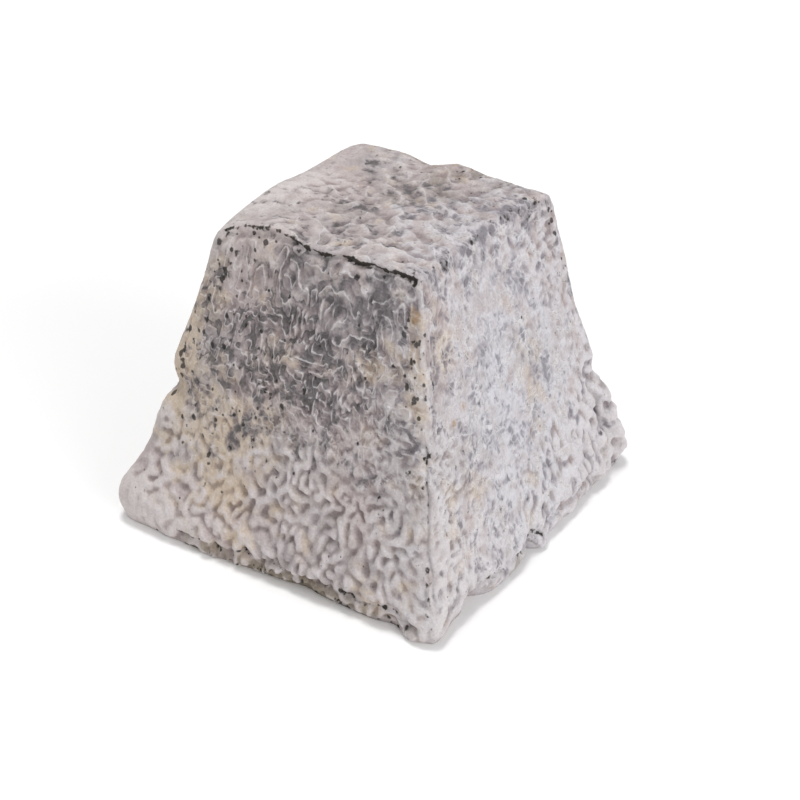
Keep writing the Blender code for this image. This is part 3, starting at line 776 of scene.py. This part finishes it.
def between(values, axis, closed):
    """Values with one more between each two along an axis, on a smooth curve through their neighbours."""
    values = np.moveaxis(values, axis, 0)
    if closed:
        padded = np.concatenate([values[-1:], values, values[:2]])
    else:
        padded = np.concatenate([2 * values[:1] - values[1:2], values, 2 * values[-1:] - values[-2:-1]])
    middle = (9 * (padded[1:-2] + padded[2:-1]) - padded[:-3] - padded[3:]) / 16
    finer = np.empty((len(values) + len(middle), *values.shape[1:]))
    finer[0::2] = values
    finer[1::2] = middle
    return np.moveaxis(finer, 0, axis)


def refined(values, wall, top, fine_wall, fine_top):
    """Values of the coarse grid's points carried over to a grid twice as fine."""
    side = fine_top.shape[0] - 2
    fine = np.zeros((fine_wall.size + side**2, *values.shape[1:]))
    fine[fine_top] = between(between(values[top], 0, False), 1, False)
    fine[fine_wall] = between(between(values[wall], 0, False), 1, True)
    return fine


def slumped_form():
    """The smooth form and the fold lines, carried over to a grid twice as fine, and its point numbers."""
    n = COLUMNS_A_WALL
    wall, top = rind_indices(n, ROWS)
    near = rind_neighbours(wall, top)
    points = np.zeros((len(near), 3))
    points[wall] = wall_points()
    points[top[1:n, 1:n]] = top_points(points[wall[ROWS]])[1:n, 1:n]
    points = slumped(points, near, rounding(*places(wall, top)), wall[0])
    pitch, stretch, finer = maze_values(points)
    lines = maze(points, near, LINE_PITCH * pitch, stretch, finer)
    fine_wall, fine_top = rind_indices(2 * n, 2 * ROWS)
    grids = wall, top, fine_wall, fine_top
    return refined(points, *grids), refined(lines, *grids), fine_wall, fine_top


def evened(points, near, floor):
    """The points drawn a little to their neighbours' mean, to take out the finer grid's joints."""
    for _ in range(EVENING_ROUNDS):
        points = (points + points[near].mean(axis=1)) / 2
        points[floor, 2] = 0
    return points


def lip_shares(near, lines):
    """1 where a fold line has its hollow above or right of it, 0 where the hollow lies below or left."""
    rise = lines[near[:, 3]] - lines[near[:, 2]] + LIP_SLANT * (lines[near[:, 1]] - lines[near[:, 0]])
    for _ in range(LIP_PASSES):
        rise = (rise + rise[near].mean(axis=1)) / 2
    return np.clip(0.5 + LIP_GAIN * rise, 0, 1)


def wrinkle_shape(points, near, around, upward, lines, lips):
    """Depth of the wrinkles, and their shape from -1 to 1, calmer along the edges and none on the floor."""
    *_, depth, thinness = station_values(points)
    pattern = maze(points, near, *maze_values(points))
    fat = 2 * ((pattern + 1) / 2) ** FAT_POWER - 1
    ridge = np.exp(-((lines / LINE_WIDTH) ** 2)) * (LEAST_LIP + (1 - LEAST_LIP) * lips)
    thin = 2 * ridge - 1 - LINE_DROP * lines
    folds = fat + thinness * (thin - fat)
    share = ROUND_FOLD_CHANGE + (1 - ROUND_FOLD_CHANGE) * thinness
    change = PRESENCE_CHANGE * share * rough(points, PRESENCE_SIZE, seed=5.7)
    folds *= np.clip(FOLD_PRESENCE + change, 0, MOST_PRESENCE)
    share = CRINKLE_SHARE[0] + (CRINKLE_SHARE[1] - CRINKLE_SHARE[0]) * thinness
    shape = folds + share * (crinkled(points) - folds)
    shape = FOLD_SHARE * shape + sum(weight * rough(points, size, seed=9.1) for size, weight in LUMPS)
    by_edge = np.exp(-((edge_distance(around, upward) / CALM_ZONE) ** 2)) * (upward < HEIGHT)
    by_rim = np.exp(-(((upward - HEIGHT) / CALM_ZONE) ** 2))
    strength = CALM + (1 - CALM) * (1 - by_edge) * (1 - by_rim)
    return depth, shape * strength * np.clip(upward / FLOOR_ZONE, 0, 1)


def amounts(points, around, upward):
    """What each point of the rind carries, by name."""
    found = {}
    for name, (everywhere, spots) in ZONES.items():
        total = np.full(len(points), everywhere)
        for place, level, half_width, half_height, more in spots:
            across = sideways(around, upward, place) / half_width
            total += more * np.exp(-(across**2) - ((upward - level) / half_height) ** 2)
        found[name] = total
    for name, spots in TOP_SPOTS.items():
        for x, y, half_width, more in spots:
            apart = ((points - (x, y, HEIGHT)) / (half_width, half_width, TOP_SPOT_REACH)) ** 2
            found[name] += more * np.exp(-apart.sum(axis=1))
    return found


def rind_points(near, faces, points, lines, wall, top):
    """All points of the rind, and what each carries."""
    around, upward = places(wall, top)
    points[:, 2] += rim_rise(around, upward)
    lift = swelling(around, upward) + UNDULATION * rough(points, UNDULATION_SCALE)
    points = points + lift[:, None] * outward(points, faces)
    lips = lip_shares(near, lines)
    depth, shape = wrinkle_shape(points, near, around, upward, lines, lips)
    aside = LINE_STRAY * rough(points, LINE_STRAY_SIZE, seed=1.9) / wall_width(upward)
    strayed = around + aside, upward + LINE_STRAY * rough(points, LINE_STRAY_SIZE, seed=6.1)
    carried = amounts(points, around, upward)
    # Dark lines: dirt along the crest, and painted shade where they follow the creases.
    carried["dirt_and_crease_shade"] = lines_over(*strayed, DIRT_AND_CREASE_SHADE_LINES)
    carried["lines"] = lines
    carried["lips"] = lips
    carried["height"] = shape * np.clip(depth / FULL_COLOUR_DEPTH, 0, 1)
    lift = depth / 2 * shape - lines_over(*strayed, CREASES)
    points = points + lift[:, None] * outward(points, faces)
    points[:, 2] -= SAG * depth * shape * np.clip(upward / SAG_ZONE, 0, 1) * (upward < HEIGHT)
    points[:, 2] = np.maximum(points[:, 2], 0)
    points[wall[0], 2] = 0
    return points, carried


def fed(tree, kind, inputs, **settings):
    """A node with its settings made, and each input given a number, a colour or another node's output."""
    made = tree.nodes.new(kind)
    for name, value in settings.items():
        setattr(made, name, value)
    for name, value in inputs.items():
        if isinstance(value, bpy.types.NodeSocket):
            tree.links.new(value, made.inputs[name])
        else:
            made.inputs[name].default_value = value
    return made


def maths(tree, operation, *values):
    return fed(tree, "ShaderNodeMath", dict(enumerate(values)), operation=operation).outputs[0]


def eased(tree, value, low, high):
    """0 where the value is below low, 1 above high, and a smooth rise between."""
    inputs = {"Value": value, "From Min": low, "From Max": high}
    return fed(tree, "ShaderNodeMapRange", inputs, interpolation_type="SMOOTHSTEP").outputs["Result"]


def mixed(tree, share, under, over, blend="MIX"):
    inputs = {0: share, 6: under, 7: over}
    return fed(tree, "ShaderNodeMix", inputs, data_type="RGBA", blend_type=blend).outputs[2]


def stored(tree, name):
    return fed(tree, "ShaderNodeAttribute", {}, attribute_name=name).outputs["Fac"]


def stretched(tree, scale):
    """Object coordinates stretched by a scale in each direction."""
    here = fed(tree, "ShaderNodeTexCoord", {}).outputs["Object"]
    return fed(tree, "ShaderNodeMapping", {"Vector": here, "Scale": scale}).outputs["Vector"]


def uneven(tree, place, size, detail):
    """Noise about zero, with features of this size in millimetres."""
    inputs = {"Vector": place, "Scale": 1000 / size, "Detail": detail}
    return maths(tree, "SUBTRACT", fed(tree, "ShaderNodeTexNoise", inputs).outputs["Fac"], 0.5)


def covered(tree, coat, unevenness):
    """How far a coat covers the rind: ragged by noise, and drawn to the ridges or the valleys."""
    carried, ragged, by_height, low, high = COATS[coat]
    amount = maths(tree, "MULTIPLY_ADD", unevenness, ragged, stored(tree, carried))
    amount = maths(tree, "MULTIPLY_ADD", stored(tree, "height"), by_height, amount)
    return eased(tree, amount, low, high)


def dotted(tree, place, size, amount, unevenness):
    """Ragged dots in some cells of this size in millimetres: more, and bigger, for a bigger amount."""
    cells = fed(tree, "ShaderNodeTexVoronoi", {"Vector": place, "Scale": 1000 / size})
    chance = fed(tree, "ShaderNodeSeparateColor", {"Color": cells.outputs["Color"]}).outputs["Red"]
    growth = eased(tree, maths(tree, "SUBTRACT", amount, chance), 0.0, FULL_DOT_CHANCE)
    least, most = DOT_RADII
    reach = maths(tree, "MULTIPLY_ADD", growth, most - least, least)
    reach = maths(tree, "MULTIPLY_ADD", unevenness, DOT_RAGGED, reach)
    return eased(tree, maths(tree, "SUBTRACT", reach, cells.outputs["Distance"]), *DOT_BORDER)


def bent(tree, place, size, reach):
    """A place moved about by noise with features of this size, and by this reach, in millimetres."""
    inputs = {"Vector": place, "Scale": 1000 / size, "Detail": 2.0}
    way = fed(tree, "ShaderNodeTexNoise", inputs).outputs["Color"]
    reach = (reach / 1000,) * 3
    inputs = {0: way, 1: reach, 2: place}
    return fed(tree, "ShaderNodeVectorMath", inputs, operation="MULTIPLY_ADD").outputs["Vector"]


def ridged(tree, place, fine):
    """The thread along each thin fold, and the hollow on one side of it, from 0 to 1."""
    line = maths(tree, "MULTIPLY_ADD", fine, THREAD_STRAY, stored(tree, "lines"))
    here = eased(tree, uneven(tree, place, *THREAD_PATCHES), *THREADS_SHOWN)
    # Threads show mostly on the lips whose hollow lies above them: a painted highlight on the lips lit from
    # above.
    shown = maths(tree, "MULTIPLY_ADD", stored(tree, "lips"), 1 - LEAST_THREAD, LEAST_THREAD)
    here = maths(tree, "MULTIPLY", here, shown)
    thread = maths(tree, "MULTIPLY", eased(tree, maths(tree, "ABSOLUTE", line), *THREAD_WIDTH), here)
    beside = maths(tree, "MULTIPLY", eased(tree, line, *HOLLOW_START), eased(tree, line, *HOLLOW_END))
    here = eased(tree, uneven(tree, place, *HOLLOW_PATCHES), *HOLLOWS_SHOWN)
    return thread, maths(tree, "MULTIPLY", beside, here)


def laced(tree, place, size):
    """Threads round uneven cells of this size in millimetres, and the hollows inside, from 0 to 1."""
    moved = bent(tree, place, LACE_BEND_SIZE * size, LACE_BEND_REACH * size)
    inputs = {"Vector": moved, "Scale": 1000 / size}
    away = fed(tree, "ShaderNodeTexVoronoi", inputs, feature="DISTANCE_TO_EDGE").outputs["Distance"]
    here = eased(tree, uneven(tree, place, LACE_PATCH_SIZE * size, 2.0), *LACE_SHOWN)
    thread = maths(tree, "MULTIPLY", eased(tree, away, *LACE_WIDTH), here)
    return thread, maths(tree, "MULTIPLY", eased(tree, away, *LACE_HOLLOW), LACE_HOLLOW_DEPTH)


def layered(tree, colour, share, strength, over, blend="MIX"):
    """A colour under another that covers a share of it at most this strongly."""
    return mixed(tree, maths(tree, "MULTIPLY", share, strength), colour, over, blend)


def ash_patches(tree, place, tall, threads, hollows):
    """Noise that gathers the ash in patches and in the hollows, off the threads; in the hollows it is
    partly painted shade.
    """
    drawn = maths(tree, "MULTIPLY_ADD", hollows, HOLLOW_ASH_AND_PAINTED_SHADE, maths(tree, "MULTIPLY", threads, THREAD_ASH))
    patches = maths(tree, "MULTIPLY_ADD", uneven(tree, place, *PATCHY), PATCHY_ASH, drawn)
    return maths(tree, "MULTIPLY_ADD", uneven(tree, tall, *BLOTCHY), BLOTCHY_ASH, patches)


def skin_colour(tree, place, tall, fine):
    """Colour of the bare skin, and of the bloom, grime and stains on it."""
    colour = mixed(tree, eased(tree, uneven(tree, place, *BROAD), *SKIN_BLEND), PINK_SKIN, GREY_SKIN)
    cream = covered(tree, "cream", uneven(tree, place, *SPECKLED))
    colour = layered(tree, colour, cream, CREAM_STRENGTH, CREAM)
    white = mixed(tree, stored(tree, "cool"), WARM_BLOOM, COOL_BLOOM)
    colour = mixed(tree, covered(tree, "bloom", uneven(tree, tall, *BLOTCHY)), colour, white)
    grime = covered(tree, "grime", uneven(tree, place, *PATCHY))
    colour = layered(tree, colour, grime, GRIME_STRENGTH, GRIME)
    return layered(tree, colour, covered(tree, "stain", fine), STAIN_STRENGTH, STAIN)


def ashed(tree, colour, fine, patches):
    """A colour under grey ash and darker smudges, the ash bluer and the smudges weaker where it is cool."""
    ash = covered(tree, "ash", maths(tree, "ADD", fine, patches))
    grey = mixed(tree, stored(tree, "cool"), ASHEN, COOL_ASHEN)
    colour = layered(tree, colour, ash, ASHEN_STRENGTH, grey)
    smudges = covered(tree, "smudges", maths(tree, "MULTIPLY_ADD", fine, FINE_SMUDGES, patches))
    strength = maths(tree, "MULTIPLY_ADD", stored(tree, "cool"), -COOL_FADE, SMUDGE_STRENGTH)
    return layered(tree, colour, smudges, strength, ASH)


def rind_colour(tree, place, tall, fine, threads, hollows):
    """Colour of the rind, from its bare skin up to the dirt and the painted crease shade on it, with
    painted shade in the valleys and painted light on the ridges.
    """
    height = stored(tree, "height")
    colour = skin_colour(tree, place, tall, fine)
    # Painted shade: the valleys of the wrinkles are darkened by multiplying in a grey.
    painted_valley_shade = eased(tree, maths(tree, "MULTIPLY_ADD", fine, VALLEY_RAGGED, height), *VALLEY_RANGE)
    colour = layered(tree, colour, painted_valley_shade, VALLEY_SHADE, PAINTED_VALLEY_SHADE, "MULTIPLY")
    colour = ashed(tree, colour, fine, ash_patches(tree, place, tall, threads, hollows))
    # Painted light: the ridges of the wrinkles are lightened towards a pale colour.
    ridge = eased(tree, maths(tree, "MULTIPLY_ADD", fine, RIDGE_RAGGED, height), *RIDGE_RANGE)
    colour = layered(tree, colour, ridge, RIDGE_LIGHT, PAINTED_RIDGE_LIGHT)
    # Light threads: the lace is mould, the threads along the folds are partly mould and partly painted
    # highlight.
    colour = layered(tree, colour, threads, THREAD_LIGHT, MOULD_THREADS_AND_PAINTED_HIGHLIGHT)
    dots = [dotted(tree, tall, size, stored(tree, "dots"), fine) for size in DOT_CELLS]
    colour = layered(tree, colour, maths(tree, "MAXIMUM", *dots), DOT_STRENGTH, BLACK_MOULD)
    # Dark lines: dirt along the crest, and painted shade where they follow the creases.
    colour = layered(tree, colour, covered(tree, "dirt_and_crease_shade", fine), DIRT_AND_CREASE_SHADE_STRENGTH, DIRT_AND_CREASE_SHADE)
    grain = eased(tree, uneven(tree, place, *GRAINY), *GRAIN_BLEND)
    return mixed(tree, GRAIN_STRENGTH, colour, grain, "SOFT_LIGHT")


def rind_relief(tree, place, tall, threads, hollows):
    """Fine unevenness of the rind's surface: soft lumps, thin ridges, then a felt of fine threads."""
    relief = maths(tree, "MULTIPLY", uneven(tree, tall, *LUMPY), LUMP_RELIEF)
    relief = maths(tree, "MULTIPLY_ADD", threads, THREAD_RELIEF, relief)
    relief = maths(tree, "MULTIPLY_ADD", hollows, -HOLLOW_RELIEF, relief)
    relief = maths(tree, "MULTIPLY_ADD", uneven(tree, place, *FELTED), GRAIN_RELIEF, relief)
    inputs = {"Height": relief, "Strength": 1.0, "Distance": 1.0}
    return fed(tree, "ShaderNodeBump", inputs).outputs["Normal"]


def rind_material():
    material = bpy.data.materials.new("ashed rind")
    material.use_nodes = True
    tree = material.node_tree
    place = stretched(tree, (1, 1, 1))
    tall = stretched(tree, TALL)
    fine = uneven(tree, tall, *FINE)
    waves = [maths(tree, "MULTIPLY", found, stored(tree, "waves")) for found in ridged(tree, tall, fine)]
    lace = [maths(tree, "MULTIPLY", found, stored(tree, "lace")) for found in laced(tree, place, LACE_CELL)]
    threads, hollows = [maths(tree, "MAXIMUM", *pair) for pair in zip(waves, lace)]
    patches = uneven(tree, place, *ROUGHNESS_PATCHES)
    shader = tree.nodes["Principled BSDF"]
    tree.links.new(rind_colour(tree, place, tall, fine, threads, hollows), shader.inputs["Base Color"])
    tree.links.new(rind_relief(tree, place, tall, threads, hollows), shader.inputs["Normal"])
    roughness = maths(tree, "MULTIPLY_ADD", patches, ROUGHNESS_CHANGE, ROUGHNESS)
    tree.links.new(roughness, shader.inputs["Roughness"])
    shader.inputs["Specular IOR Level"].default_value = SPECULAR
    return material


def settled(points):
    """The points in metres, centred over the origin."""
    middle = (points.min(axis=0) + points.max(axis=0)) / 2
    return (points - (middle[0], middle[1], 0)) * UNIT


def thin_out(piece, triangles):
    """Keep fewer triangles, where the relief needs them."""
    fewer = piece.modifiers.new("Fewer triangles", "DECIMATE")
    fewer.ratio = SHOWN_TRIANGLES / triangles
    evaluated = piece.evaluated_get(bpy.context.evaluated_depsgraph_get())
    piece.data = bpy.data.meshes.new_from_object(evaluated)
    piece.modifiers.remove(fewer)


def make_rind():
    points, lines, wall, top = slumped_form()
    near = rind_neighbours(wall, top)
    faces = rind_faces(wall, top)
    points = evened(points, near, wall[0])
    points, carried = rind_points(near, faces, points, lines, wall, top)
    mesh = bpy.data.meshes.new("rind")
    mesh.from_pydata(settled(points).tolist(), [], faces)
    for name, values in carried.items():
        mesh.attributes.new(name, "FLOAT", "POINT").data.foreach_set("value", values.astype(np.float32))
    piece = bpy.data.objects.new("rind", mesh)
    bpy.context.scene.collection.objects.link(piece)
    thin_out(piece, sum(len(face) - 2 for face in faces))
    piece.data.shade_smooth()
    piece.data.materials.append(rind_material())
    return piece


def make_floor():
    mesh = bpy.data.meshes.new("floor")
    side = FLOOR_SIDE / 2
    corners = [(-side, -side, 0), (side, -side, 0), (side, side, 0), (-side, side, 0)]
    mesh.from_pydata(corners, [], [(0, 1, 2, 3)])
    floor = bpy.data.objects.new("floor", mesh)
    bpy.context.scene.collection.objects.link(floor)
    material = bpy.data.materials.new("floor")
    material.use_nodes = True
    shader = material.node_tree.nodes["Principled BSDF"]
    shader.inputs["Base Color"].default_value = FLOOR_COLOUR
    shader.inputs["Roughness"].default_value = 0.9
    shader.inputs["Specular IOR Level"].default_value = 0.0
    mesh.materials.append(material)


def make_light(name, way, side, power):
    """A square soft light that faces the cheese from a direction."""
    lamp = bpy.data.lights.new(name, "AREA")
    lamp.size = side
    lamp.energy = power
    light = bpy.data.objects.new(name, lamp)
    light.location = Vector(way).normalized() * LIGHT_DISTANCE
    light.rotation_euler = Vector(way).to_track_quat("Z", "Y").to_euler()
    bpy.context.scene.collection.objects.link(light)


def make_studio():
    for name, (way, side, power) in LIGHTS.items():
        make_light(name, way, side, power)
    world = bpy.data.worlds.new("studio")
    world.use_nodes = True
    world.node_tree.nodes["Background"].inputs["Color"].default_value = (1, 1, 1, 1)
    world.node_tree.nodes["Background"].inputs["Strength"].default_value = ROOM_LIGHT
    bpy.context.scene.world = world
    bpy.context.scene.view_settings.view_transform = "Standard"


def make_camera():
    turn, climb = np.radians([CAMERA_TURN, CAMERA_CLIMB])
    back = Vector((np.sin(turn) * np.cos(climb), -np.cos(turn) * np.cos(climb), np.sin(climb)))
    right = Vector((np.cos(turn), np.sin(turn), 0))
    camera = bpy.data.objects.new("camera", bpy.data.cameras.new("camera"))
    turned = Matrix((right, back.cross(right), back)).transposed().to_4x4()
    camera.matrix_world = Matrix.Translation((Vector(CAMERA_AIM) + back * CAMERA_DISTANCE) * UNIT) @ turned
    camera.data.lens = LENS
    camera.data.clip_start = 0.01
    bpy.context.scene.collection.objects.link(camera)
    bpy.context.scene.camera = camera


rind = make_rind()
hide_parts("cheese")
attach(rind, "root")
make_floor()
make_studio()
make_camera()
